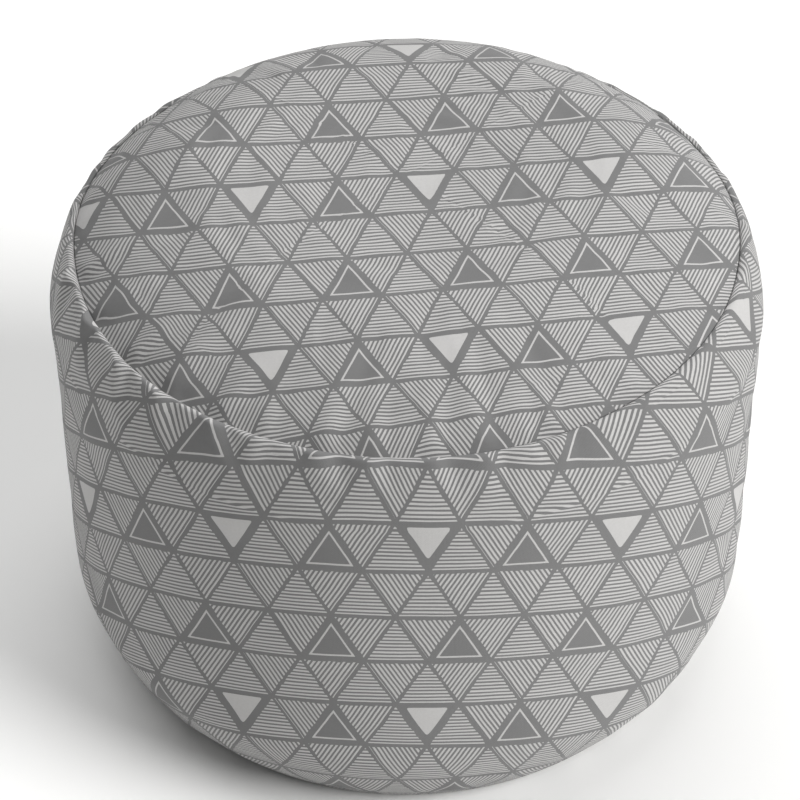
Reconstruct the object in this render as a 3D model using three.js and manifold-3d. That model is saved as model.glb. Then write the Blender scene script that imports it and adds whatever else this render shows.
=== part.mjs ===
// Round floor pouf: a printed fabric cover with a zip across its base, over a filled inner bag.
// Millimetres, +Z up. The base rests on z = 0, centred on the origin, and the front faces -Y.

import * as THREE from "three";
import { ConvexGeometry } from "three/addons/geometries/ConvexGeometry.js";
import { mergeVertices } from "three/addons/utils/BufferGeometryUtils.js";
import Module from "manifold-3d";

const wasm = await Module();
wasm.setup();

// ---- Driving dimensions ----

// The filled cover
const WIDEST_DIAMETER = 510; // across the bulge of the side
const TOP_SEAM_DIAMETER = 480;
const BASE_SEAM_DIAMETER = 443;
const TOP_SEAM_HEIGHT = 356; // floor to the edge of the top panel
const CROWN_RISE = 44; // how far the top swells above its seam
const FOOT_HEIGHT = 75; // the side swells outwards over this height from the base
const SHOULDER_HEIGHT = 53; // and draws in over this height below the top seam
const FOOT_POWER = 1.6; // roundness of the foot, shoulder and crown
const SHOULDER_POWER = 1.8;
const CROWN_POWER = 5;

// Cloth and sewing
const COVER_CLOTH = 1.2;
const COVER_ALLOWANCE = 10; // width of the seam allowance turned inwards
const LINER_CLOTH = 0.8;
const LINER_ALLOWANCE = 8;
const LAYER_GAP = 0.3; // between layers that lie on one another
const THREAD_RADIUS = 0.4;
const TUCK = 2.5; // room that the inner layers leave beside a seam allowance
const NECK = 8; // width over which the inner bag draws in beside the top seam

// The zip across the base
const RIDGE_END_MARGIN = 15; // from the base seam to the foot of the raised band over the zip
const PULL_END_MARGIN = 1; // raised cloth beyond the pull, with the zip open
const STOP_LENGTH = 5;
const STOP_THICKNESS = 3.8;
const TOOTH_PITCH = 4;
const TOOTH_LENGTH = 2.2; // along the chain
const TOOTH_REACH = 2.1; // across the chain, from the bead
const TOOTH_TAPER = 0.8; // width of a tooth's tip, as a share of its root
const BEAD_WIDTH = 1.2;
const CHAIN_THICKNESS = 2;
const TAPE_WIDTH = 11.9;
const TAPE_THICKNESS = 0.6;
const TAPE_OVERHANG = 2; // tape beyond each stop
const TOPSTITCH_OFFSET = 2.7; // from the folded edge of the cloth to its line of stitches
const LEDGE_MARGIN = 2; // raised cloth beyond the edge of the tape
const RAMP_RUN = 8; // width of the slope from the base up to the zip

// Slider and pull
const FLOOR_CLEARANCE = 0.8; // below the slider's bail
const RUN_GAP = 0.3; // between the slider and the chain
const SLIDER_LENGTH = 12;
const PLATE_THICKNESS = 1.2;
const RAIL_WIDTH = 0.8;
const WEB_THICKNESS = 0.4;
const WEB_LENGTH = 4;
const SLOT_GAP = 1.1; // from the slider to the folded edges of the cloth
const BAIL_LENGTH = 8;
const BAIL_WIDTH = 2.4;
const BAIL_BAR = 1;
const BAIL_FOOT = 1.2;
const BAIL_OPENING = 2.6;
const PULL_LENGTH = 26;
const PULL_WIDTH = 7;
const PULL_THICKNESS = 1.2;
const PULL_EYE_LENGTH = 3.6;
const PULL_EYE_CLEARANCE = 0.4; // each side of the bail
const PIN_CLEARANCE = 0.4; // between the pull's cross-bar and the foot of the bail

// Fineness
const TURN_STEPS = 48;
const CURVE_STEPS = 5; // along the foot and along the shoulder
const CROWN_STEPS = 8;
const THREAD_SIDES = 6;

// ---- Sizes that follow ----

const baseRadius = BASE_SEAM_DIAMETER / 2;
const topRadius = TOP_SEAM_DIAMETER / 2;
const widestRadius = WIDEST_DIAMETER / 2;

// A seam holds the folded rim of one panel, then the turned allowance of the next, then the thread.
const rimHeight = 2 * COVER_CLOTH + LAYER_GAP;
const threadStack = LAYER_GAP + 2 * THREAD_RADIUS;
const sideLow = rimHeight + LAYER_GAP;
const sideHigh = TOP_SEAM_HEIGHT - rimHeight - LAYER_GAP;
const coverRimInner = baseRadius - COVER_ALLOWANCE;
const coverTopInner = topRadius - COVER_ALLOWANCE;

// The inner bag lies inside the cover, with a shelf clear of each of the cover's seams.
const linerInset = COVER_CLOTH + LAYER_GAP;
const linerShelfLow = sideLow + COVER_CLOTH + threadStack + LAYER_GAP;
const linerSideLow = linerShelfLow + LINER_CLOTH + LAYER_GAP;
const linerShelfHigh = sideHigh - COVER_CLOTH - threadStack - LAYER_GAP;
const linerSideHigh = linerShelfHigh - LINER_CLOTH - LAYER_GAP;
const linerCrownRadius = coverTopInner - NECK;

// The filling lies inside the bag in the same way.
const fillingInset = linerInset + LINER_CLOTH + LAYER_GAP;
const fillingShelfLow = linerSideLow + LINER_CLOTH + threadStack + LAYER_GAP;
const fillingShelfHigh = linerSideHigh - LINER_CLOTH - threadStack - LAYER_GAP;

// The zip, from its centre line outwards
const rowGap = WEB_THICKNESS + 2 * RUN_GAP;
const toothTip = rowGap / 2;
const beadInner = toothTip + TOOTH_REACH;
const beadOuter = beadInner + BEAD_WIDTH;
const tapeInner = beadOuter + LAYER_GAP;
const tapeOuter = tapeInner + TAPE_WIDTH;
const sliderHalfWidth = beadOuter + 2 * RUN_GAP + RAIL_WIDTH;
const slotHalfWidth = sliderHalfWidth + SLOT_GAP;
const ledgeHalfWidth = tapeOuter + LEDGE_MARGIN;

// and along it. With the zip open, the pull reaches past the stop and still lies under the raised cloth.
const crossBar = PULL_THICKNESS;
const hingeX = -BAIL_LENGTH / 2 + BAIL_FOOT + PIN_CLEARANCE + crossBar / 2;
const sliderRoom = STOP_LENGTH + RUN_GAP + SLIDER_LENGTH / 2;
const pullOverhang = PULL_LENGTH - crossBar / 2 - hingeX - sliderRoom;
const ledgeHalfLength = baseRadius - RIDGE_END_MARGIN - RAMP_RUN;
const zipHalfLength = ledgeHalfLength - PULL_END_MARGIN - pullOverhang;
const chainHalfLength = zipHalfLength - STOP_LENGTH - LAYER_GAP;
const tapeHalfLength = zipHalfLength + TAPE_OVERHANG;

// and from the floor upwards
const bailTop = FLOOR_CLEARANCE + BAIL_BAR;
const outerPlateLow = bailTop + BAIL_OPENING;
const chainLow = outerPlateLow + PLATE_THICKNESS + RUN_GAP;
const chainMiddle = chainLow + CHAIN_THICKNESS / 2;
const innerPlateLow = chainLow + CHAIN_THICKNESS + RUN_GAP;
const sliderHigh = innerPlateLow + PLATE_THICKNESS;
const tapeLow = chainMiddle - TAPE_THICKNESS / 2;
const ledgeHigh = tapeLow - LAYER_GAP;
const ledgeLow = ledgeHigh - COVER_CLOTH;
const linerLedgeHigh = sliderHigh + LAYER_GAP + LINER_CLOTH;
const fillingLedge = linerLedgeHigh + LAYER_GAP;

// The slider rests at the closed end, and the pull turns on its cross-bar inside the bail.
const sliderX = zipHalfLength - sliderRoom;
const hingeZ = bailTop + BAIL_OPENING / 2;

// ---- Outlines of the filled pouf ----

// Outer radius of the side at a height
function sideCurve(z) {
  const foot = Math.max(0, 1 - (z - sideLow) / FOOT_HEIGHT);
  const shoulder = Math.max(0, 1 - (sideHigh - z) / SHOULDER_HEIGHT);
  const atFoot = (widestRadius - baseRadius) * foot ** FOOT_POWER;
  const atShoulder = (widestRadius - topRadius) * shoulder ** SHOULDER_POWER;
  return widestRadius - atFoot - atShoulder;
}

// Height of the top at a radius
function crownCurve(r) {
  return TOP_SEAM_HEIGHT + CROWN_RISE * (1 - (r / topRadius) ** CROWN_POWER);
}

// The places where both outlines turn from one facet to the next. Every layer turns at the same
// places, so that the layers stay parallel.
const crownRadii = [];
for (let i = 0; i <= CROWN_STEPS; i += 1) {
  crownRadii.push((topRadius * i) / CROWN_STEPS);
}
const sideHeights = [];
for (let i = 0; i <= CURVE_STEPS; i += 1) {
  sideHeights.push(sideLow + (FOOT_HEIGHT * i) / CURVE_STEPS);
}
for (let i = 0; i <= CURVE_STEPS; i += 1) {
  sideHeights.push(sideHigh - SHOULDER_HEIGHT * (1 - i / CURVE_STEPS));
}

// A curve with straight facets between the given places
function faceted(curve, places) {
  return (t) => {
    const next = THREE.MathUtils.clamp(places.findIndex((p) => p >= t), 1, places.length - 1);
    const [a, b] = [places[next - 1], places[next]];
    return THREE.MathUtils.mapLinear(t, a, b, curve(a), curve(b));
  };
}

const sideRadius = faceted(sideCurve, sideHeights);
const crownHeight = faceted(crownCurve, crownRadii);

// The two ends of a stretch, with every place between them
function stretch(places, from, to) {
  return [from, ...places.filter((p) => p > from && p < to), to];
}

// Points up the side from one height to another, a distance inside its outer face
function sideLine(inset, low, high) {
  return stretch(sideHeights, low, high).map((z) => new THREE.Vector2(sideRadius(z) - inset, z));
}

// Points outwards over the crown from its middle, a distance below its upper face
function crownLine(depth, radius) {
  return stretch(crownRadii, 0, radius).map((r) => new THREE.Vector2(r, crownHeight(r) - depth));
}

// ---- Solids ----

function points(...pairs) {
  return pairs.map(([r, z]) => new THREE.Vector2(r, z));
}

// A profile turned about the vertical axis. It starts and ends on the axis, or closes on itself.
function turned(profile) {
  const outline = THREE.ShapeUtils.isClockWise(profile) ? profile.toReversed() : [...profile];
  if (outline[0].x > 0) {
    outline.push(outline[0].clone());
  }
  return new THREE.LatheGeometry(outline, TURN_STEPS).rotateX(Math.PI / 2);
}

// A geometry as a solid for booleans
function solid(geometry) {
  const bare = geometry.clone();
  bare.deleteAttribute("normal");
  bare.deleteAttribute("uv");
  const merged = mergeVertices(bare, 1e-4);
  const index = merged.index.array;
  const triVerts = [];
  for (let i = 0; i < index.length; i += 3) {
    const [a, b, c] = index.slice(i, i + 3);
    if (a !== b && b !== c && c !== a) {
      triVerts.push(a, b, c);
    }
  }
  const mesh = new wasm.Mesh({
    numProp: 3,
    vertProperties: merged.attributes.position.array,
    triVerts: new Uint32Array(triVerts),
  });
  return new wasm.Manifold(mesh);
}

// A boolean's result as a geometry
function shaped(manifold) {
  const mesh = manifold.getMesh();
  const geometry = new THREE.BufferGeometry();
  geometry.setAttribute("position", new THREE.BufferAttribute(mesh.vertProperties, 3));
  geometry.setIndex(new THREE.BufferAttribute(mesh.triVerts, 1));
  geometry.computeVertexNormals();
  return geometry;
}

// A box between two corners
function box(x0, x1, y0, y1, z0, z1) {
  const geometry = new THREE.BoxGeometry(x1 - x0, y1 - y0, z1 - z0);
  return geometry.translate((x0 + x1) / 2, (y0 + y1) / 2, (z0 + z1) / 2);
}

// The raised ridge over the zip: a flat top, with a ramp down every side
function ridge(halfLength, halfWidth, low, high) {
  const corners = [];
  for (const [z, run] of [[low, RAMP_RUN], [high, 0]]) {
    for (const x of [-halfLength - run, halfLength + run]) {
      for (const y of [-halfWidth - run, halfWidth + run]) {
        corners.push(new THREE.Vector3(x, y, z));
      }
    }
  }
  return solid(new ConvexGeometry(corners));
}

// A sheet of cloth that rises over the zip as a ridge of the same thickness
function sheetWithRidge(profile, halfLength, halfWidth, low, high, cloth) {
  const raised = ridge(halfLength, halfWidth, low, high);
  return solid(turned(profile)).add(raised).subtract(raised.translate(0, 0, -cloth));
}

// A ring of thread
function threadRing(radius, z) {
  const section = [];
  for (let i = 0; i < THREAD_SIDES; i += 1) {
    const angle = (2 * Math.PI * i) / THREAD_SIDES;
    section.push(new THREE.Vector2(
      radius + THREAD_RADIUS * Math.cos(angle),
      z + THREAD_RADIUS * Math.sin(angle),
    ));
  }
  return turned(section);
}

// A flat outline with rounded corners, centred on x and y
function roundedRectangle(x, halfLength, halfWidth, corner) {
  const outline = new THREE.Shape();
  outline.moveTo(x - halfLength + corner, -halfWidth);
  outline.lineTo(x + halfLength - corner, -halfWidth);
  outline.quadraticCurveTo(x + halfLength, -halfWidth, x + halfLength, -halfWidth + corner);
  outline.lineTo(x + halfLength, halfWidth - corner);
  outline.quadraticCurveTo(x + halfLength, halfWidth, x + halfLength - corner, halfWidth);
  outline.lineTo(x - halfLength + corner, halfWidth);
  outline.quadraticCurveTo(x - halfLength, halfWidth, x - halfLength, halfWidth - corner);
  outline.lineTo(x - halfLength, -halfWidth + corner);
  outline.quadraticCurveTo(x - halfLength, -halfWidth, x - halfLength + corner, -halfWidth);
  return outline;
}

function plate(outline, thickness, z) {
  const flat = { depth: thickness, bevelEnabled: false, curveSegments: 4 };
  return new THREE.ExtrudeGeometry(outline, flat).translate(0, 0, z);
}

// ---- The cover ----

function coverTopPanel() {
  const rimLow = TOP_SEAM_HEIGHT - rimHeight;
  const outer = crownLine(0, topRadius);
  const inner = crownLine(COVER_CLOTH, topRadius - COVER_CLOTH).reverse();
  const rim = points(
    [topRadius, rimLow],
    [coverTopInner, rimLow],
    [coverTopInner, rimLow + COVER_CLOTH],
    [topRadius - COVER_CLOTH, rimLow + COVER_CLOTH],
  );
  return turned([...outer, ...rim, ...inner]);
}

// One strip round the side, whose ends meet at the back
function coverSidePanel() {
  const outer = sideLine(0, sideLow, sideHigh);
  const inner = sideLine(COVER_CLOTH, sideLow + COVER_CLOTH, sideHigh - COVER_CLOTH).reverse();
  const topAllowance = points([coverTopInner, sideHigh], [coverTopInner, sideHigh - COVER_CLOTH]);
  const baseAllowance = points([coverRimInner, sideLow + COVER_CLOTH], [coverRimInner, sideLow]);
  const ring = solid(turned([...outer, ...topAllowance, ...inner, ...baseAllowance]));
  const halfSlit = LAYER_GAP / 2;
  const slit = solid(box(-halfSlit, halfSlit, 0, WIDEST_DIAMETER, 0, TOP_SEAM_HEIGHT));
  return shaped(ring.subtract(slit));
}

function coverBase() {
  const disc = points(
    [0, 0],
    [baseRadius, 0],
    [baseRadius, rimHeight],
    [coverRimInner, rimHeight],
    [coverRimInner, rimHeight - COVER_CLOTH],
    [baseRadius - COVER_CLOTH, rimHeight - COVER_CLOTH],
    [baseRadius - COVER_CLOTH, COVER_CLOTH],
    [0, COVER_CLOTH],
  );
  const sheet = sheetWithRidge(disc, ledgeHalfLength, ledgeHalfWidth, 0, ledgeHigh, COVER_CLOTH);
  const slotHalfLength = zipHalfLength + LAYER_GAP;
  const slot = box(-slotHalfLength, slotHalfLength, -slotHalfWidth, slotHalfWidth, 0, sliderHigh);
  return sheet.subtract(solid(slot));
}

// One half of the base: side is -1 for the front and 1 for the rear
function coverBottomPanel(base, side) {
  const near = (side * LAYER_GAP) / 2;
  const far = side * WIDEST_DIAMETER;
  const [y0, y1] = [Math.min(near, far), Math.max(near, far)];
  const half = solid(box(-WIDEST_DIAMETER, WIDEST_DIAMETER, y0, y1, -sliderHigh, TOP_SEAM_HEIGHT));
  return shaped(base.intersect(half));
}

// ---- The zip ----

function zipTape(side) {
  const [y0, y1] = side > 0 ? [tapeInner, tapeOuter] : [-tapeOuter, -tapeInner];
  return box(-tapeHalfLength, tapeHalfLength, y0, y1, tapeLow, tapeLow + TAPE_THICKNESS);
}

// A row of moulded teeth on its bead; the front row is half a pitch along
function zipTeeth(side) {
  const outline = new THREE.Shape();
  const shift = side > 0 ? 0 : TOOTH_PITCH / 2;
  const room = 2 * chainHalfLength - shift - TOOTH_LENGTH;
  const count = Math.floor(room / TOOTH_PITCH);
  outline.moveTo(-chainHalfLength, beadOuter);
  outline.lineTo(-chainHalfLength, beadInner);
  for (let i = 0; i < count; i += 1) {
    const x = -chainHalfLength + TOOTH_LENGTH + shift + i * TOOTH_PITCH;
    const root = TOOTH_LENGTH / 2;
    outline.lineTo(x - root, beadInner);
    outline.lineTo(x - root * TOOTH_TAPER, toothTip);
    outline.lineTo(x + root * TOOTH_TAPER, toothTip);
    outline.lineTo(x + root, beadInner);
  }
  outline.lineTo(chainHalfLength, beadInner);
  outline.lineTo(chainHalfLength, beadOuter);
  const row = plate(outline, CHAIN_THICKNESS, chainLow);
  return side > 0 ? row : row.rotateX(Math.PI).translate(0, 0, 2 * chainMiddle);
}

// A stop is thicker than the chain, so that the slider's plates meet it
function zipStop(x0, y0, y1) {
  const low = chainMiddle - STOP_THICKNESS / 2;
  return box(x0, x0 + STOP_LENGTH, y0, y1, low, low + STOP_THICKNESS);
}

// One loop of thread round the zip, on the outside of the cloth
function zipTopstitching() {
  const y = slotHalfWidth + TOPSTITCH_OFFSET;
  const x = zipHalfLength + TOPSTITCH_OFFSET;
  const loop = roundedRectangle(0, x + THREAD_RADIUS, y + THREAD_RADIUS, 2 * THREAD_RADIUS);
  loop.holes.push(roundedRectangle(0, x - THREAD_RADIUS, y - THREAD_RADIUS, THREAD_RADIUS));
  return plate(loop, 2 * THREAD_RADIUS, ledgeLow - threadStack);
}

// Two plates joined by a thin web that runs between the rows, rails each side, and the bail below
function zipSlider() {
  const body = () => roundedRectangle(0, SLIDER_LENGTH / 2, sliderHalfWidth, SLIDER_LENGTH / 6);
  const outerPlate = solid(plate(body(), PLATE_THICKNESS, outerPlateLow));
  const innerPlate = solid(plate(body(), PLATE_THICKNESS, innerPlateLow));
  const half = PLATE_THICKNESS / 2;
  const web = box(
    SLIDER_LENGTH / 2 - 1 - WEB_LENGTH,
    SLIDER_LENGTH / 2 - 1,
    -WEB_THICKNESS / 2,
    WEB_THICKNESS / 2,
    outerPlateLow + half,
    innerPlateLow + half,
  );
  let slider = outerPlate.add(innerPlate).add(solid(web));
  const railHalf = SLIDER_LENGTH / 3;
  const railInner = sliderHalfWidth - RAIL_WIDTH;
  for (const [y0, y1] of [[railInner, sliderHalfWidth], [-sliderHalfWidth, -railInner]]) {
    const below = box(-railHalf, railHalf, y0, y1, outerPlateLow + half, tapeLow - RUN_GAP);
    const above = box(-railHalf, railHalf, y0, y1, tapeLow + TAPE_THICKNESS + RUN_GAP, innerPlateLow + half);
    slider = slider.add(solid(below)).add(solid(above));
  }
  return shaped(slider.add(bail()));
}

// A strap along the slider, standing off its outer plate
function bail() {
  const end = BAIL_LENGTH / 2;
  const root = outerPlateLow + PLATE_THICKNESS / 2;
  const strap = new THREE.Shape();
  strap.moveTo(-end, root);
  strap.lineTo(-end, bailTop);
  strap.lineTo(-end + BAIL_BAR, FLOOR_CLEARANCE);
  strap.lineTo(end - BAIL_BAR, FLOOR_CLEARANCE);
  strap.lineTo(end, bailTop);
  strap.lineTo(end, root);
  strap.lineTo(end - BAIL_FOOT, root);
  strap.lineTo(end - BAIL_FOOT, bailTop);
  strap.lineTo(-end + BAIL_FOOT, bailTop);
  strap.lineTo(-end + BAIL_FOOT, root);
  const across = plate(strap, BAIL_WIDTH, -BAIL_WIDTH / 2);
  return solid(across.rotateX(Math.PI / 2));
}

// The pull, about its cross-bar: an eye round the bail's foot, and a small hole near the tip
function zipPull() {
  const tip = PULL_LENGTH - crossBar / 2;
  const middle = (crossBar / 2 - tip) / 2;
  const outline = roundedRectangle(middle, PULL_LENGTH / 2, PULL_WIDTH / 2, crossBar);
  const eyeMiddle = -crossBar / 2 - PULL_EYE_LENGTH / 2;
  const eyeHalfWidth = BAIL_WIDTH / 2 + PULL_EYE_CLEARANCE;
  outline.holes.push(roundedRectangle(eyeMiddle, PULL_EYE_LENGTH / 2, eyeHalfWidth, PULL_EYE_CLEARANCE / 2));
  const holeHalf = PULL_WIDTH / 5;
  outline.holes.push(roundedRectangle(-tip + 3 * holeHalf, holeHalf, holeHalf, holeHalf));
  return plate(outline, PULL_THICKNESS, -PULL_THICKNESS / 2);
}

// ---- The inner bag and its filling ----

function linerTopPanel() {
  const neckRadius = coverTopInner - 3 * LAYER_GAP;
  const rimRadius = sideRadius(linerShelfHigh) - linerInset;
  const under = linerShelfHigh - LINER_CLOTH;
  const outer = crownLine(linerInset, linerCrownRadius);
  const inner = crownLine(linerInset + LINER_CLOTH, linerCrownRadius - LINER_CLOTH).reverse();
  const shelf = points(
    [neckRadius, linerShelfHigh],
    [rimRadius, linerShelfHigh],
    [rimRadius, under],
    [neckRadius - LINER_CLOTH, under],
  );
  return turned([...outer, ...shelf, ...inner]);
}

function linerSidePanel() {
  const outer = sideLine(linerInset, linerSideLow, linerSideHigh);
  const inset = linerInset + LINER_CLOTH;
  const inner = sideLine(inset, linerSideLow + LINER_CLOTH, linerSideHigh - LINER_CLOTH).reverse();
  const topInner = sideRadius(linerSideHigh) - linerInset - LINER_ALLOWANCE;
  const baseInner = sideRadius(linerSideLow) - linerInset - LINER_ALLOWANCE;
  const topAllowance = points([topInner, linerSideHigh], [topInner, linerSideHigh - LINER_CLOTH]);
  const baseAllowance = points([baseInner, linerSideLow + LINER_CLOTH], [baseInner, linerSideLow]);
  return turned([...outer, ...topAllowance, ...inner, ...baseAllowance]);
}

function linerBottomPanel() {
  const rimRadius = sideRadius(linerShelfLow) - linerInset;
  const shelfRadius = coverRimInner - LAYER_GAP;
  const low = linerInset;
  const profile = points(
    [0, low],
    [coverRimInner - TUCK, low],
    [shelfRadius, linerShelfLow],
    [rimRadius, linerShelfLow],
    [rimRadius, linerShelfLow + LINER_CLOTH],
    [shelfRadius - LINER_CLOTH, linerShelfLow + LINER_CLOTH],
    [coverRimInner - TUCK - LINER_CLOTH, low + LINER_CLOTH],
    [0, low + LINER_CLOTH],
  );
  const halfLength = ledgeHalfLength + LAYER_GAP;
  const halfWidth = ledgeHalfWidth + LAYER_GAP;
  return shaped(sheetWithRidge(profile, halfLength, halfWidth, low, linerLedgeHigh, LINER_CLOTH));
}

function filling() {
  const topAllowanceInner = sideRadius(linerSideHigh) - linerInset - LINER_ALLOWANCE;
  const baseAllowanceInner = sideRadius(linerSideLow) - linerInset - LINER_ALLOWANCE;
  const crown = crownLine(fillingInset, linerCrownRadius - TUCK);
  const top = points(
    [coverTopInner - 2 * TUCK, linerShelfHigh - LINER_CLOTH - 2 * LAYER_GAP],
    [topAllowanceInner - 2 * LAYER_GAP, fillingShelfHigh],
  );
  const side = sideLine(fillingInset, fillingShelfLow, fillingShelfHigh).reverse();
  const base = points(
    [baseAllowanceInner - 2 * LAYER_GAP, fillingShelfLow],
    [coverRimInner - TUCK + LINER_CLOTH, linerShelfLow + LINER_CLOTH + 2 * LAYER_GAP],
    [coverRimInner - 3 * TUCK, fillingInset],
    [0, fillingInset],
  );
  const mass = solid(turned([...crown, ...top, ...side, ...base]));
  const clear = 2 * LINER_CLOTH;
  const groove = ridge(ledgeHalfLength + clear, ledgeHalfWidth + clear, fillingInset - clear, fillingLedge);
  return shaped(mass.subtract(groove));
}

// ---- Materials ----

function material(color, roughness, metalness = 0) {
  return new THREE.MeshStandardMaterial({ color, roughness, metalness });
}

const coverFabric = material("#8f8f8d", 0.95);
const coverThread = material("#86868a", 0.8);
const zipTapeFabric = material("#77777a", 0.9);
const zipPlastic = material("#5c5d60", 0.45);
const zipMetal = material("#8d9094", 0.35, 0.9);
const linerFabric = material("#e6e3dc", 0.95);
const fillingFibre = material("#f2f1ee", 1);

// ---- Assembly ----

const pouf = new THREE.Group();

function place(parent, name, geometry, look) {
  const mesh = new THREE.Mesh(geometry, look);
  mesh.name = name;
  parent.add(mesh);
  return mesh;
}

place(pouf, "cover_top_panel", coverTopPanel(), coverFabric);
place(pouf, "cover_side_panel", coverSidePanel(), coverFabric);
const base = coverBase();
place(pouf, "cover_bottom_panel_front", coverBottomPanel(base, -1), coverFabric);
place(pouf, "cover_bottom_panel_rear", coverBottomPanel(base, 1), coverFabric);

const threadLift = LAYER_GAP + THREAD_RADIUS;
const topThread = threadRing(topRadius - COVER_ALLOWANCE / 2, sideHigh - COVER_CLOTH - threadLift);
const baseThread = threadRing(baseRadius - COVER_ALLOWANCE / 2, sideLow + COVER_CLOTH + threadLift);
place(pouf, "cover_top_seam_thread", topThread, coverThread);
place(pouf, "cover_base_seam_thread", baseThread, coverThread);

place(pouf, "zipper_tape_front", zipTape(-1), zipTapeFabric);
place(pouf, "zipper_tape_rear", zipTape(1), zipTapeFabric);
place(pouf, "zipper_teeth_front", zipTeeth(-1), zipPlastic);
place(pouf, "zipper_teeth_rear", zipTeeth(1), zipPlastic);
const closedEnd = zipHalfLength - STOP_LENGTH;
place(pouf, "zipper_top_stop_front", zipStop(closedEnd, -beadOuter, -toothTip), zipMetal);
place(pouf, "zipper_top_stop_rear", zipStop(closedEnd, toothTip, beadOuter), zipMetal);
place(pouf, "zipper_bottom_stop", zipStop(-zipHalfLength, -beadOuter, beadOuter), zipMetal);
place(pouf, "zipper_topstitching", zipTopstitching(), coverThread);

const slider = new THREE.Group();
slider.position.set(sliderX, 0, 0);
place(slider, "zipper_slider", zipSlider(), zipMetal);
place(slider, "zipper_pull", zipPull(), zipMetal).position.set(hingeX, 0, hingeZ);
pouf.add(slider);

place(pouf, "liner_top_panel", linerTopPanel(), linerFabric);
place(pouf, "liner_side_panel", linerSidePanel(), linerFabric);
place(pouf, "liner_bottom_panel", linerBottomPanel(), linerFabric);
const linerTopRadius = sideRadius(linerSideHigh) - linerInset - LINER_ALLOWANCE / 2;
const linerBaseRadius = sideRadius(linerSideLow) - linerInset - LINER_ALLOWANCE / 2;
const linerTopThread = threadRing(linerTopRadius, linerSideHigh - LINER_CLOTH - threadLift);
const linerBaseThread = threadRing(linerBaseRadius, linerSideLow + LINER_CLOTH + threadLift);
place(pouf, "liner_top_seam_thread", linerTopThread, linerFabric);
place(pouf, "liner_base_seam_thread", linerBaseThread, linerFabric);
place(pouf, "filling", filling(), fillingFibre);

export default pouf;
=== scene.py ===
"""A round, drum-shaped floor pouf in a printed cotton cover, with a zip across its base."""
import math
import random

import bpy
import numpy as np
from bpy.props import FloatProperty, FloatVectorProperty, IntProperty, PointerProperty
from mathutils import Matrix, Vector


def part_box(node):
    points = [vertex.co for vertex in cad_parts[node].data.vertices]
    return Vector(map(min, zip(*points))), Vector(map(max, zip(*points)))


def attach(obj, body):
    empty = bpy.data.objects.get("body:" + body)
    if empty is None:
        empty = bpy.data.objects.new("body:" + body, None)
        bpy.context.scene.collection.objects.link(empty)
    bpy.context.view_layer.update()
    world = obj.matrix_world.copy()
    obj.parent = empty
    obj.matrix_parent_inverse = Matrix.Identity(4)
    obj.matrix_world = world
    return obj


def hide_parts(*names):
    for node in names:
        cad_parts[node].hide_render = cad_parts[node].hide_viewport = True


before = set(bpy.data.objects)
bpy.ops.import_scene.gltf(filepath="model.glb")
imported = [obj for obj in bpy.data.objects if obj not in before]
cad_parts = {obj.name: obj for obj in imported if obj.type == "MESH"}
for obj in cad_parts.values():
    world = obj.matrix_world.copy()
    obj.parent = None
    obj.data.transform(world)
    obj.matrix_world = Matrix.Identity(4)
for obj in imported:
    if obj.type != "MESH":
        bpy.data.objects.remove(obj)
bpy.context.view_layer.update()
SIDE_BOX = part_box("cover_side_panel")
TOP_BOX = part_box("cover_top_panel")

bl_info = {
    "name": "Drum pouf",
    "version": (1, 0, 0),
    "blender": (4, 5, 0),
    "location": "View3D > Sidebar > Pouf",
    "description": "Makes the cover, inner bag, filling, stitching and zip of a round floor pouf",
    "category": "Add Mesh",
}

MM = 0.001
TURN = 2 * math.pi

# ---- Sizes of the sewing that no user would change ----

FOOT_HEIGHT = 75 * MM  # the side swells outwards over this height from the base
SHOULDER_HEIGHT = 53 * MM  # and draws in over this height below the top seam
FOOT_POWER = 1.6
SHOULDER_POWER = 1.8
CROWN_POWERS = (5.0, 6.2)  # roundness of the top at the front and at the back
COVER_CLOTH = 1.2 * MM
LINER_CLOTH = 0.8 * MM
LIP_LENGTH = 11 * MM  # cloth that rolls over the seam allowance, from the seam outwards
LIP_TURN = 0.8 * math.pi  # and how far it rolls
BAND_HALF = 18 * MM  # the base stands clear of the floor over the zip, to this half width
BAND_REACH = 198.5 * MM  # and this far to each side
BAND_RAMP = 8 * MM
BAND_LIFT = 5.1 * MM
SLOT_HALF = 6.3 * MM  # opening in the base over the zip
SLOT_REACH = 181.9 * MM
SLOT_GAP = 0.15 * MM  # the two base panels meet beyond the zip
FOOT_TURN = 3.5 * MM  # cloth turned under at the base seam
BASE_COLUMNS, BASE_ROWS = 120, 44
BAG_COLUMNS = 120
BAG_CROWN_ROWS, BAG_SIDE_ROWS, BAG_UNDER_ROWS = 18, 34, 26
BAG_CORNER = 9 * MM  # height of the bag's upper corner
TOP_RINGS = (0, 1.5, 3, 4.5, 6, 8, 10, 12.5, 15.5, 19, 23, 27.5)  # mm inwards from the seam

# ---- The stuffing, as Cloth under pressure ----

STUFFING = (
    ("quality", 6), ("mass", 0.25), ("tension_stiffness", 25), ("compression_stiffness", 25),
    ("shear_stiffness", 12), ("bending_stiffness", 0.4), ("air_damping", 3),
    ("use_pressure", True), ("uniform_pressure_force", 4.0), ("vertex_group_mass", "sewn"),
    ("pin_stiffness", 1.0), ("vertex_group_shrink", "ease"), ("shrink_min", 0.0),
    ("shrink_max", -0.035),
)
STUFFING_STEPS = 20
FREE_PIN = 0.05  # how firmly cloth away from a seam keeps its place
EASE_REACH = 40 * MM  # the cloth is too big for its place within this height of the top seam
EASE_INNER = 220 * MM  # and outside this radius

# ---- The print: rows of triangles, one unit wide and one row high ----

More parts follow.
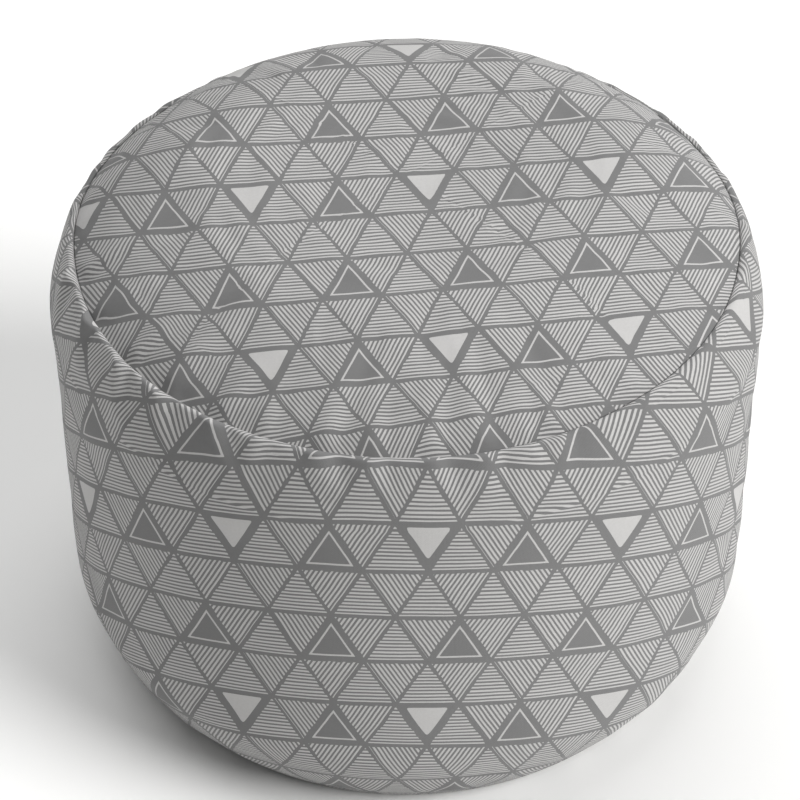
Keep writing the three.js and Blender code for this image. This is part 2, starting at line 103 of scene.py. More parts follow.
PRINT_UNIT = 43.5 * MM  # for turning threads per millimetre into threads per unit
TOP_PRINT_X = (24.14, 2.04, 2.679, -37.6, -4.12)  # across, forwards, start, draw and skew
TOP_PRINT_Y = (2.77, -22.43, 3.043, 465.0, -3.96)
TOP_PRINT_EASE = (0.2, 0.85)  # the draw eases off over this distance behind the middle, by this
SIDE_PRINT_TURN = 5.86  # units for each radian round the front of the side
SIDE_PRINT_EVEN = math.radians(38)  # past this angle the cloth is eased, and units are wider
SIDE_PRINT_START = (2.678, 2.0)
SIDE_PRINT_BOW = (4.1, 0.085, math.radians(82))  # rows drawn up at the sides, lean, and to where
SIDE_PRINT_ROWS = 22.98  # rows for each metre down the side

# ---- The stage ----

FLOOR_REACH = 4.0
ROOM_LIGHT = 0.2  # the room is dim, and the paper behind the object is bright
PAPER_GLOW = 0.95
LAMPS = (  # name, place, spread in degrees, strength, colour
    ("key_light", (2.1, -0.9, 1.6), 32, 3.0, (1.0, 0.995, 0.99)),
    ("top_light", (-0.4, 1.5, 2.5), 70, 1.75, (1.0, 1.0, 1.0)),
)
CAMERA_LENS = 126.7  # mm
CAMERA_SHIFT = (-0.00875, 0.01875)
CAMERA_TILT = math.radians(42)
CAMERA_DISTANCE = 2.112
CAMERA_LOOK = (0, 0, 0.178)


# ---- Colours ----

def linear(hex_colour):
    """An sRGB hex colour as linear red, green and blue."""
    parts = [int(hex_colour[i:i + 2], 16) / 255 for i in (1, 3, 5)]
    return tuple(c / 12.92 if c <= 0.04045 else ((c + 0.055) / 1.055) ** 2.4 for c in parts)


def colour_prop(name, hex_colour, description):
    return FloatVectorProperty(
        name=name, description=description, subtype="COLOR", size=3, min=0.0, max=1.0,
        default=linear(hex_colour))


def size_prop(name, value, description):
    return FloatProperty(
        name=name, description=description, default=value, min=0.0, max=1.0,
        subtype="DISTANCE", unit="LENGTH")


class PoufSizes(bpy.types.PropertyGroup):
    """Sizes of the stuffed cover."""

    widest_radius: size_prop(
        "Widest radius", SIDE_BOX[1].x, "Half the width across the bulge of the side")
    base_radius: size_prop("Base radius", 221.5 * MM, "Radius of the seam round the base")
    shoulder_radius: size_prop(
        "Shoulder radius", TOP_BOX[1].x, "Radius where the side meets the top")
    shoulder_height: size_prop("Shoulder height", 356 * MM, "Height of the edge of the top")
    crown_rise: size_prop(
        "Crown rise", TOP_BOX[1].z - 356 * MM, "How far the top swells above its edge")
    seam_inset: size_prop("Seam inset", 5.5 * MM, "How far the top seam is drawn in")
    lip_height: size_prop("Lip height", 5.0 * MM, "How far the side rolls up above the seam")
    valley_depth: size_prop(
        "Valley depth", 3.0 * MM, "How far the top is drawn down at its seam")
    valley_width: size_prop(
        "Valley width", 5.0 * MM, "How quickly the top rises from its seam")
    pucker_height: size_prop("Pucker height", 3.4 * MM, "Height of the puckers at the seam")
    pucker_pitch: size_prop("Pucker pitch", 36 * MM, "Usual distance between puckers")
    lump_height: size_prop(
        "Lump height", 1.6 * MM, "Unevenness that the filling gives the cloth")
    swell_limit: size_prop(
        "Swell limit", 3.0 * MM, "Furthest that the simulated stuffing may push the cloth")
    columns: IntProperty(
        name="Columns", description="Columns of cloth round the seam, a multiple of four",
        default=288, min=96, max=480, step=4)
    seed: IntProperty(name="Seed", description="Seed for puckers and lumps", default=11)


class PoufColours(bpy.types.PropertyGroup):
    """Colours of cloth, thread, zip and stage."""

    ground: colour_prop("Cloth ground", "#727272", "Grey that the cover cloth is printed in")
    print_ink: colour_prop("Cloth print", "#bab9b8", "Pale lines and triangles of the print")
    thread: colour_prop("Thread", "#86868a", "Sewing thread of the cover")
    tape: colour_prop("Zip tape", "#77777a", "Woven tape of the zip")
    teeth: colour_prop("Zip teeth", "#5c5d60", "Moulded teeth of the zip")
    metal: colour_prop("Zip metal", "#8d9094", "Slider, pull and stops")
    liner: colour_prop("Inner bag", "#e6e3dc", "Unbleached cotton of the inner bag")
    fibre: colour_prop("Filling", "#f2f1ee", "Loose polyester fibre")
    floor: colour_prop("Floor", "#fafaf9", "Pale studio floor")


# ---- Materials ----

def add(tree, kind, links=None, **settings):
    """Adds one node, sets its settings, and links or sets its inputs."""
    made = tree.nodes.new(kind)
    for key, value in settings.items():
        setattr(made, key, value)
    for socket, value in (links or {}).items():
        if isinstance(value, bpy.types.NodeSocket):
            tree.links.new(value, made.inputs[socket])
        else:
            made.inputs[socket].default_value = value
    return made


def reckon(tree, steps, known):
    """Adds a Math node for each step of a table, and returns every named value."""
    for name, operation, *values in steps:
        links = {i: known.get(v, v) if isinstance(v, str) else v for i, v in enumerate(values)}
        known[name] = add(tree, "ShaderNodeMath", links, operation=operation).outputs[0]
    return known


def new_material(name):
    """An empty material with its Principled shader, and the tree that they are in."""
    material = bpy.data.materials.new(name)
    material.use_nodes = True
    tree = material.node_tree
    tree.nodes.clear()
    shader = add(tree, "ShaderNodeBsdfPrincipled")
    add(tree, "ShaderNodeOutputMaterial", {"Surface": shader.outputs[0]})
    return material, tree, shader


def finish_shader(tree, shader, colour, shade, bump=None, rough=None, **plain):
    """Joins a shaded colour, a bump of (height, strength, distance) and a roughness to the
    shader, and sets its plain inputs, whose names have _ for a space."""
    toned = add(tree, "ShaderNodeVectorMath", {0: colour, "Scale": shade}, operation="SCALE")
    tree.links.new(toned.outputs[0], shader.inputs["Base Color"])
    if rough is not None:
        tree.links.new(rough, shader.inputs["Roughness"])
    if bump:
        made = add(tree, "ShaderNodeBump", dict(zip(("Height", "Strength", "Distance"), bump)))
        tree.links.new(made.outputs[0], shader.inputs["Normal"])
    for name, value in plain.items():
        shader.inputs[name.replace("_", " ")].default_value = value


# Which triangle of the print a point is in, and where in it. "x" and "y" are in units and rows.
PRINT_CELL = (
    ("row", "FLOOR", "y"),
    ("v", "FRACT", "y"),
    ("half_y", "MULTIPLY", "y", 0.5),
    ("a_line", "ADD", "x", "half_y"),
    ("x_row", "ADD", "x", "row"),
    ("b_line", "SUBTRACT", "x_row", "half_y"),
    ("a_cell", "FLOOR", "a_line"),
    ("b_cell", "FLOOR", "b_line"),
    ("a", "FRACT", "a_line"),
    ("b", "FRACT", "b_line"),
    ("up", "GREATER_THAN", "a_cell", "b_cell"),
    ("down", "SUBTRACT", 1.0, "up"),
    ("a_less_b", "SUBTRACT", "a", "b"),
    ("if_up", "MULTIPLY", "up", "a_less_b"),
    ("left", "ADD", "b", "if_up"),
    ("one_less_a", "SUBTRACT", 1.0, "a"),
    ("right", "ADD", "one_less_a", "if_up"),
    ("half_row", "MULTIPLY", "row", 0.5),
    ("corner", "SUBTRACT", "a_cell", "half_row"),
    ("half_down", "MULTIPLY", "down", 0.5),
    ("middle", "ADD", "corner", "half_down"),
    ("of_two", "FLOORED_MODULO", "middle", 2.0),
    ("of_three", "FLOORED_MODULO", "middle", 3.0),
    ("of_four", "FLOORED_MODULO", "row", 4.0),
    ("row_one", "COMPARE", "of_four", 1.0, 0.1),
    ("row_three", "COMPARE", "of_four", 3.0, 0.1),
    ("odd_row", "ADD", "row_one", "row_three"),
    ("even_row", "SUBTRACT", 1.0, "odd_row"),
)

# Which way a downward triangle's strokes lean, and which triangles are outlined or solid
PRINT_KIND = (
    ("lean_even", "GREATER_THAN", "of_two", 1.0),
    ("lean_0", "MULTIPLY", "lean_even", "even_row"),
    ("lean_one", "LESS_THAN", "of_two", 0.25),
    ("lean_1", "MULTIPLY", "lean_one", "row_one"),
    ("lean_three", "GREATER_THAN", "of_three", 1.75),
    ("lean_3", "MULTIPLY", "lean_three", "row_three"),
    ("lean_01", "ADD", "lean_0", "lean_1"),
    ("lean", "ADD", "lean_01", "lean_3"),
    ("ring_one", "GREATER_THAN", "of_two", 1.25),
    ("ring_1", "MULTIPLY", "ring_one", "row_one"),
    ("ring_three", "COMPARE", "of_three", 1.5, 0.2),
    ("ring_3", "MULTIPLY", "ring_three", "row_three"),
    ("ring_13", "ADD", "ring_1", "ring_3"),
    ("ring", "MULTIPLY", "ring_13", "up"),
    ("solid_three", "LESS_THAN", "of_three", 0.25),
    ("solid_3", "MULTIPLY", "solid_three", "row_three"),
    ("solid", "MULTIPLY", "solid_3", "down"),
    ("plain", "ADD", "ring", "solid"),
    ("lined", "SUBTRACT", 1.0, "plain"),
)

# The strokes: 12.8 to a triangle, half stroke and half gap, with ends that don't quite line up
PRINT_STROKES = (
    ("lean_part", "MULTIPLY", "lean", "a_less_b"),
    ("slant", "ADD", "b", "lean_part"),
    ("flat_less", "SUBTRACT", "v", "slant"),
    ("flat_part", "MULTIPLY", "up", "flat_less"),
    ("along", "ADD", "slant", "flat_part"),
    ("count", "MULTIPLY", "along", 12.8),
    ("stroke_no", "FLOOR", "count"),
    ("stroke_at", "FRACT", "count"),
    ("stroke", "LESS_THAN", "stroke_at", "stroke_width"),
    ("edge", "MINIMUM", "left", "right"),
    ("in_sides", "GREATER_THAN", "edge", "margin"),
    ("top_margin", "ADD", "margin", 0.02),
    ("in_top", "GREATER_THAN", "v", "top_margin"),
    ("in_foot", "LESS_THAN", "v", 0.968),
    ("in_height", "MULTIPLY", "in_top", "in_foot"),
    ("inside", "MULTIPLY", "in_sides", "in_height"),
    ("stroke_in", "MULTIPLY", "stroke", "inside"),
    ("strokes", "MULTIPLY", "stroke_in", "lined"),
)

# The outlined triangle's ring, and the solid one with its rounded corners
PRINT_SHAPES = (
    ("ring_side", "SUBTRACT", "edge", 0.093),
    ("ring_foot", "SUBTRACT", 0.92, "v"),
    ("ring_in", "SMOOTH_MIN", "ring_side", "ring_foot", 0.02),
    ("ring_outer", "GREATER_THAN", "ring_in", 0.0),
    ("ring_inner", "LESS_THAN", "ring_in", 0.036),
    ("ring_line", "MULTIPLY", "ring_outer", "ring_inner"),
    ("ring_shown", "MULTIPLY", "ring_line", "ring"),
    ("left_in", "SUBTRACT", "left", 0.12),
    ("right_in", "SUBTRACT", "right", 0.12),
    ("sides_in", "SMOOTH_MIN", "left_in", "right_in", 0.12),
    ("head_in", "SUBTRACT", "v", 0.08),
    ("solid_in", "SMOOTH_MIN", "sides_in", "head_in", 0.08),
    ("solid_fill", "GREATER_THAN", "solid_in", 0.0),
    ("solid_shown", "MULTIPLY", "solid_fill", "solid"),
    ("line_or_ring", "ADD", "strokes", "ring_shown"),
    ("ink", "ADD", "line_or_ring", "solid_shown"),
)

# A plain weave: warp and weft cross over and under. "wx" and "wy" count threads.
WEAVE = (
    ("warp_no", "FLOOR", "wx"),
    ("weft_no", "FLOOR", "wy"),
    ("warp_turn", "MULTIPLY", "wx", math.pi),
    ("weft_turn", "MULTIPLY", "wy", math.pi),
    ("warp_sine", "SINE", "warp_turn"),
    ("weft_sine", "SINE", "weft_turn"),
    ("warp", "ABSOLUTE", "warp_sine"),
    ("weft", "ABSOLUTE", "weft_sine"),
    ("both_no", "ADD", "warp_no", "weft_no"),
    ("over", "FLOORED_MODULO", "both_no", 2.0),
    ("weft_less", "SUBTRACT", "weft", "warp"),
    ("over_part", "MULTIPLY", "over", "weft_less"),
    ("weave", "ADD", "warp", "over_part"),
)


def weave_height(tree, coords, threads):
    """Height of a plain weave, 0 to 1, with so many threads to each unit of the coordinates."""
    scaled = add(tree, "ShaderNodeVectorMath", {0: coords, 1: (threads,) * 3}, operation="MULTIPLY")
    parts = add(tree, "ShaderNodeSeparateXYZ", {0: scaled.outputs[0]})
    known = {"wx": parts.outputs["X"], "wy": parts.outputs["Y"]}
    return reckon(tree, WEAVE, known)["weave"]


def printed_cotton(colours):
    """Cotton canvas, piece-dyed and screen-printed: matt, with the faint ribs of a plain weave,
    and hand-drawn pale strokes whose edges bleed a little into the threads."""
    material, tree, shader = new_material("Printed cotton canvas")
    uv = add(tree, "ShaderNodeUVMap", uv_map="print")
    # The artwork is drawn by hand: it wanders by half a millimetre
    wander = add(tree, "ShaderNodeTexNoise", {"Vector": uv.outputs[0], "Scale": 2.6, "Detail": 1.5})
    swing = add(tree, "ShaderNodeVectorMath", {
        0: wander.outputs["Color"], 1: (0.5, 0.5, 0.5)}, operation="SUBTRACT")
    drawn = add(tree, "ShaderNodeVectorMath", {
        0: swing.outputs[0], 1: (0.018, 0.018, 0.0), 2: uv.outputs[0]}, operation="MULTIPLY_ADD")
    place = add(tree, "ShaderNodeSeparateXYZ", {0: drawn.outputs[0]})
    known = {"x": place.outputs["X"], "y": place.outputs["Y"]}
    reckon(tree, PRINT_CELL + PRINT_KIND, known)
    first = reckon(tree, PRINT_STROKES[:8], known)
    # Each stroke ends a little early or late
    where = add(tree, "ShaderNodeCombineXYZ", {
        "X": first["stroke_no"], "Y": first["a_cell"], "Z": first["row"]})
    chance = add(tree, "ShaderNodeTexWhiteNoise", {"Vector": where.outputs[0]},
                 noise_dimensions="3D")
    ends = (("margin_part", "MULTIPLY", chance.outputs["Value"], 0.022),
            ("margin", "ADD", "margin_part", 0.024),
            ("width_part", "MULTIPLY", chance.outputs["Value"], 0.10),
            ("stroke_width", "ADD", "width_part", 0.46))
    reckon(tree, ends + PRINT_STROKES[8:] + PRINT_SHAPES, known)
    # Threads are 0.45 mm apart on the real cloth; drawn at 0.9 mm, or no rib would show
    weave = weave_height(tree, uv.outputs[0], PRINT_UNIT / (0.9 * MM))
    slub = add(tree, "ShaderNodeTexNoise", {
        "Vector": uv.outputs[0], "Scale": 20.0, "Detail": 3.0, "Roughness": 0.65})
    wash = add(tree, "ShaderNodeTexNoise", {"Vector": uv.outputs[0], "Scale": 0.7, "Detail": 2.0})
    shade = reckon(tree, (
        ("weave_part", "MULTIPLY", weave, 0.10),
        ("slub_part", "MULTIPLY", slub.outputs["Fac"], 0.16),
        ("wash_part", "MULTIPLY", wash.outputs["Fac"], 0.10),
        ("two", "ADD", "weave_part", "slub_part"),
        ("three", "ADD", "two", "wash_part"),
        ("value", "ADD", "three", 0.82)), {})["value"]
    mixed = add(tree, "ShaderNodeMix", {
        0: known["ink"], 4: tuple(colours.ground), 5: tuple(colours.print_ink)},
        data_type="VECTOR")
    rough = add(tree, "ShaderNodeMapRange", {
        "Value": known["ink"], "To Min": 0.92, "To Max": 0.8})
    height = reckon(tree, (
        ("slub_height", "MULTIPLY", slub.outputs["Fac"], 0.5),
        ("cloth", "ADD", weave, "slub_height"),
        ("ink_height", "MULTIPLY", known["ink"], 0.25),
        ("all", "ADD", "cloth", "ink_height")), {})["all"]
    finish_shader(tree, shader, mixed.outputs[1], shade, (height, 0.35, 0.25 * MM),
                  rough.outputs[0], Specular_IOR_Level=0.25, Sheen_Weight=0.12,
                  Sheen_Roughness=0.6)
    return material


def woven_cloth(name, colour, pitch, roughness=0.9, sheen=0.1):
    """A plain woven cloth: matt, with ribs at the thread pitch and slubs along them."""
    material, tree, shader = new_material(name)
    coords = add(tree, "ShaderNodeTexCoord")
    weave = weave_height(tree, coords.outputs["Object"], 1 / pitch)
    slub = add(tree, "ShaderNodeTexNoise", {
        "Vector": coords.outputs["Object"], "Scale": 0.15 / pitch, "Detail": 3.0})
    shade = reckon(tree, (
        ("weave_part", "MULTIPLY", weave, 0.14),
        ("slub_part", "MULTIPLY", slub.outputs["Fac"], 0.18),
        ("two", "ADD", "weave_part", "slub_part"),
        ("value", "ADD", "two", 0.84)), {})["value"]
    finish_shader(tree, shader, colour, shade, (weave, 0.5, 0.4 * pitch),
                  Roughness=roughness, Sheen_Weight=sheen)
    return material


def spun_thread(colour):
    """Spun polyester sewing thread, three plies twisted: satin, with a fine slanting twist."""
    material, tree, shader = new_material("Spun polyester thread")
    coords = add(tree, "ShaderNodeTexCoord")
    # The twist repeats every 0.8 mm; drawn at 1.2 mm so that it shows
    twist = add(tree, "ShaderNodeTexWave", {
        "Vector": coords.outputs["Object"], "Scale": 130.0, "Distortion": 1.5, "Detail": 1.0},
        bands_direction="DIAGONAL")
    tone = add(tree, "ShaderNodeMapRange", {
        "Value": twist.outputs["Fac"], "To Min": 0.8, "To Max": 1.1})
    finish_shader(tree, shader, colour, tone.outputs[0],
                  (twist.outputs["Fac"], 0.6, 0.1 * MM), Roughness=0.55, Sheen_Weight=0.2)
    return material


def moulded_plastic(colour):
    """Injection-moulded acetal zip teeth: smooth, waxy, with slight flow marks."""
    material, tree, shader = new_material("Moulded acetal")
    coords = add(tree, "ShaderNodeTexCoord")
    flow = add(tree, "ShaderNodeTexNoise", {
        "Vector": coords.outputs["Object"], "Scale": 900.0, "Detail": 2.0})
    tone = add(tree, "ShaderNodeMapRange", {
        "Value": flow.outputs["Fac"], "To Min": 0.88, "To Max": 1.1})
    rough = add(tree, "ShaderNodeMapRange", {
        "Value": flow.outputs["Fac"], "To Min": 0.32, "To Max": 0.48})
    finish_shader(tree, shader, colour, tone.outputs[0],
                  (flow.outputs["Fac"], 0.15, 0.05 * MM), rough.outputs[0], IOR=1.48)
    return material


def plated_metal(colour):
    """Nickel-plated die-cast zinc: bright, with a fine tumbled grain and rubbed patches."""
    material, tree, shader = new_material("Nickel-plated zinc")
    coords = add(tree, "ShaderNodeTexCoord")
    grain = add(tree, "ShaderNodeTexNoise", {
        "Vector": coords.outputs["Object"], "Scale": 2500.0, "Detail": 2.0})
    rubbed = add(tree, "ShaderNodeTexNoise", {
        "Vector": coords.outputs["Object"], "Scale": 260.0, "Detail": 3.0})
    tone = add(tree, "ShaderNodeMapRange", {
        "Value": rubbed.outputs["Fac"], "To Min": 0.85, "To Max": 1.12})
    rough = add(tree, "ShaderNodeMapRange", {
        "Value": rubbed.outputs["Fac"], "From Min": 0.3, "From Max": 0.7,
        "To Min": 0.22, "To Max": 0.4})
    finish_shader(tree, shader, colour, tone.outputs[0],
                  (grain.outputs["Fac"], 0.12, 0.03 * MM), rough.outputs[0], Metallic=1.0)
    return material


def loose_fibre(colour):
    """Siliconised polyester fibre, carded into a soft mass: white, matt and finely stranded."""
    material, tree, shader = new_material("Carded polyester fibre")
    coords = add(tree, "ShaderNodeTexCoord")
    strands = add(tree, "ShaderNodeTexNoise", {
        "Vector": coords.outputs["Object"], "Scale": 160.0, "Detail": 5.0, "Distortion": 2.5})
    tone = add(tree, "ShaderNodeMapRange", {
        "Value": strands.outputs["Fac"], "To Min": 0.86, "To Max": 1.04})
    finish_shader(tree, shader, colour, tone.outputs[0],
                  (strands.outputs["Fac"], 0.8, 1.0 * MM), Roughness=1.0,
                  Subsurface_Weight=0.15, Subsurface_Radius=(0.01, 0.01, 0.01))
    return material


def paper_floor(colour):
    """Seamless studio paper: matt, almost without a mark."""
    material, tree, shader = new_material("Studio paper")
    coords = add(tree, "ShaderNodeTexCoord")
    grain = add(tree, "ShaderNodeTexNoise", {
        "Vector": coords.outputs["Object"], "Scale": 3.0, "Detail": 2.0})
    tone = add(tree, "ShaderNodeMapRange", {
        "Value": grain.outputs["Fac"], "To Min": 0.985, "To Max": 1.01})
    finish_shader(tree, shader, colour, tone.outputs[0], Roughness=0.95)
    return material


def material_once(name, make, *values):
    """The material of that name, made the first time that it is asked for."""
    return bpy.data.materials.get(name) or make(*values)


def cover_cloth():
    return material_once("Printed cotton canvas", printed_cotton, bpy.context.scene.pouf_colours)


def cover_thread():
    colours = bpy.context.scene.pouf_colours
    return material_once("Spun polyester thread", spun_thread, tuple(colours.thread))


def liner_cloth():
    """Calico for the inner bag: unbleached cotton, 0.7 mm between threads."""
    colours = bpy.context.scene.pouf_colours
    return material_once("Unbleached calico", woven_cloth, "Unbleached calico",
                         tuple(colours.liner), 0.7 * MM)


# ---- The shape of the stuffed cover ----

def smooth(t):
    """0 below 0 and 1 above 1, with a smooth rise between."""
    t = np.clip(t, 0.0, 1.0)
    return t * t * (3 - 2 * t)


def near(phi, centre, reach):
    """1 at an angle, falling to 0 at a reach from it, all in degrees. Angles count from the
    front towards the right."""
    away = (np.degrees(phi) - centre + 180) % 360 - 180
    return np.exp(-((away / reach) ** 2))


class Shape:
    """Where the cover's cloth lies. Angles are in radians from the front towards the right."""

    def __init__(self, sizes):
        self.sizes = sizes
        self.low = SIDE_BOX[0].z
        self.high = sizes.shoulder_height - 3 * MM
        self.seam_radius = sizes.shoulder_radius - sizes.seam_inset
        draw = random.Random(sizes.seed)
        self.puckers = self.place_puckers(draw)
        self.waves = [
            (draw.choice((2, 3, 4, 5, 6, 7, 9)), draw.uniform(4, 22), draw.uniform(0, TURN),
             draw.uniform(0, TURN), draw.uniform(0.4, 1.0)) for _ in range(14)]
        heights = np.linspace(self.high, self.low, 600)
        radii = self.side_radius(heights)
        steps = np.hypot(np.diff(heights), np.diff(radii))
        self.fall_z, self.fall_s = heights, np.concatenate([[0.0], np.cumsum(steps)])

    def place_puckers(self, draw):
        """(angle, height, length, lean, width) of each pucker: listed one by one across the front,
        and by chance round the rest."""
        front = ((-33, 1.0, 40, 0.5), (-24, 0.7, 30, -0.2), (-14, 1.1, 42, 0.12),
                 (-5.4, 0.9, 32, -0.1), (3.9, 1.0, 36, 0.05), (12.4, 1.1, 45, -0.12),
                 (19.4, 0.9, 34, 0.1), (24.9, 1.0, 44, -0.2), (34, 0.5, 28, -0.3),
                 (-44, 1.0, 38, 0.3), (-54, 1.2, 44, 0.35), (-66, 1.0, 40, 0.2),
                 (-78, 1.3, 48, 0.1))
        out = [(math.radians(a), h, n * MM, lean, draw.uniform(6.0, 8.5) * MM)
               for a, h, n, lean in front]
        pitch = self.sizes.pucker_pitch / self.sizes.shoulder_radius
        at = math.radians(42)
        while at < math.radians(272):
            out.append((at, draw.uniform(0.35, 1.0), draw.uniform(22, 46) * MM,
                        draw.uniform(-0.35, 0.35), draw.uniform(6.0, 9.0) * MM))
            at += pitch * draw.uniform(0.65, 1.4)
        return out

    def looseness(self, phi):
        """How slack the seam is at an angle: most at the left of the front, least at the right."""
        slack = (0.75 - 0.3 * self.behind(phi) + 0.55 * near(phi, -55, 30)
                 - 0.5 * near(phi, 60, 28) + 0.25 * near(phi, 0, 25))
        return np.clip(slack, 0.15, 1.4)

    def behind(self, phi):
        """0 at the front and 1 at the back, where the seam is drawn tight under the crown."""
        return smooth((np.abs(phi) - math.radians(76)) / math.radians(34))

    def seam_at(self, phi):
        """Radius of the top seam: drawn in at the front, out under the crown at the back."""
        return self.seam_radius + (self.sizes.seam_inset - 1.0 * MM) * self.behind(phi)

    def pucker_field(self, phi, distance, reach=1.0):
        """Height of the puckers, in units of the pucker height, at an angle and a distance from
        the seam."""
        out = np.zeros_like(phi)
        for at, height, length, lean, width in self.puckers:
            away = (phi - at + math.pi) % TURN - math.pi
            across = away * self.sizes.shoulder_radius - lean * distance
            spread = width * (1 + distance / (60 * MM))
            ridge = np.exp(-((across / spread) ** 2))
            crease = np.exp(-(((across - 1.25 * spread) / (0.5 * spread)) ** 2))
            fade = np.exp(-((distance / (length * reach)) ** 1.6))
            out += height * fade * (ridge - 0.8 * crease)
        return out * self.looseness(phi)

    def lumps(self, phi, along):
        """Slow unevenness from the filling, about -1 to 1."""
        out = np.zeros_like(phi)
        for turns, waves, shift, slide, weight in self.waves:
            out += weight * np.sin(turns * phi + shift) * np.sin(waves * along + slide)
        return out / 4.0

    def side_radius(self, z):
        s = self.sizes
        foot = np.maximum(0, 1 - (z - self.low) / FOOT_HEIGHT)
        shoulder = np.maximum(0, 1 - (self.high - z) / SHOULDER_HEIGHT)
        return (s.widest_radius - (s.widest_radius - s.base_radius) * foot ** FOOT_POWER
                - (s.widest_radius - s.shoulder_radius) * shoulder ** SHOULDER_POWER)

    def crown(self, phi, r, edge):
        """Height of the top at a radius, where it would meet the seam at the edge's height."""
        peak = self.sizes.shoulder_height + self.sizes.crown_rise
        power = CROWN_POWERS[0] + (CROWN_POWERS[1] - CROWN_POWERS[0]) * self.behind(phi)
        return edge + (peak - edge) * (1 - (r / self.seam_at(phi)) ** power)

    def lip(self, phi):
        """Height of the rolled lip above the seam, and of the seam above the floor."""
        s = self.sizes
        loose = self.looseness(phi)
        height = s.lip_height * (0.05 + 0.95 * loose) * (1 - 0.45 * self.behind(phi))
        top = (s.shoulder_height - 1.5 * MM + 1.2 * MM * near(phi, -60, 30)
               - 7.0 * MM * self.behind(phi))
        return height, top - height

    def side_run(self, phi, s):
        """Distance down the side's even outline, s metres of cloth down from the seam. All
        columns reach the base seam together."""
        lip, seam = self.lip(phi)
        z_end = seam + lip * math.sin(LIP_TURN)
        start = np.interp(-z_end, -self.fall_z, self.fall_s)
        past = np.clip(s - LIP_LENGTH, 0, None)
        run = start + past * (self.fall_s[-1] - start) / (self.side_length() - LIP_LENGTH)
        return run + np.minimum(s - LIP_LENGTH, 0)

    def side(self, phi, s):
        """Points on the side, s metres of cloth down from the seam."""
        lip, seam = self.lip(phi)
        t = np.clip(s / LIP_LENGTH, 0, 1) * LIP_TURN
        z_end = seam + lip * math.sin(LIP_TURN)
        roll = (self.side_radius(z_end) - self.seam_at(phi)) / (1 - math.cos(LIP_TURN))
        run = self.side_run(phi, s)
        z_low = np.interp(run, self.fall_s, self.fall_z)
        rolled = s < LIP_LENGTH
        r = np.where(rolled, self.seam_at(phi) + roll * (1 - np.cos(t)), self.side_radius(z_low))
        z = np.where(rolled, seam + lip * np.sin(t), z_low)
        size = self.sizes.pucker_height
        shown = smooth(s / (9 * MM)) * smooth((self.side_length() - s) / (60 * MM))
        field = self.pucker_field(phi, s)
        r = r + size * shown * field
        r = r + self.sizes.lump_height * smooth(s / 0.05) * smooth(
            (self.side_length() - s) / 0.04) * self.lumps(phi, s * 6)
        z = z + 0.35 * size * field * np.exp(-(((s - 7 * MM) / (7 * MM)) ** 2))
        # The strip is closed with a seam at the back, drawn in a little
        closing = np.abs(np.abs(phi) - math.pi) * self.sizes.widest_radius
        r = r - 1.3 * MM * np.exp(-((closing / (2.6 * MM)) ** 2)) * smooth(s / 0.02)
        # Slack cloth gathers in small folds just above the base seam
        foot = np.clip((self.side_length() - s) / (34 * MM), 0, 1)
        r = r + 0.9 * MM * np.sin(41 * phi + 2 * np.sin(5 * phi)) * smooth(foot) * (
            1 - smooth((self.side_length() - s - 0.02) / 0.05))
        return r, z

    def side_length(self):
        return LIP_LENGTH + self.fall_s[-1] - FOOT_TURN

    def top(self, phi, r):
        """Height of the top panel at an angle and a radius."""
        lip, seam = self.lip(phi)
        loose = self.looseness(phi)
        left = near(phi, -48, 26)
        width = self.sizes.valley_width * (0.7 + 0.5 * loose + 1.6 * left)
        width = width * (1 - 0.6 * self.behind(phi))
        inward = np.clip(self.seam_at(phi) - r, 0, None)
        drop = self.sizes.valley_depth * (0.3 + 0.7 * loose + 1.2 * left)
        z = self.crown(phi, r, seam + drop) - drop * np.exp(-((inward / width) ** 1.15))
        field = self.pucker_field(phi, inward, reach=0.75)
        z = z + 0.8 * self.sizes.pucker_height * field * smooth(inward / (7 * MM))
        inner = smooth(inward / (40 * MM))
        z = z + self.sizes.lump_height * inner * self.lumps(phi * smooth(r / 0.08), r * 16)
        return z


# ---- The cloth of the cover ----

def row_steps(length):
    """Distances down from the seam of the side's rows, in metres."""
    out, at = [], 0.0
    while at < length * 1000 - 1.0:
        out.append(at)
        at += 1.6 if at < 15 else 3.2 if at < 60 else 9.5 if at < length * 1000 - 55 else 5.0
    out.append(length * 1000)
    return [v * MM for v in out]


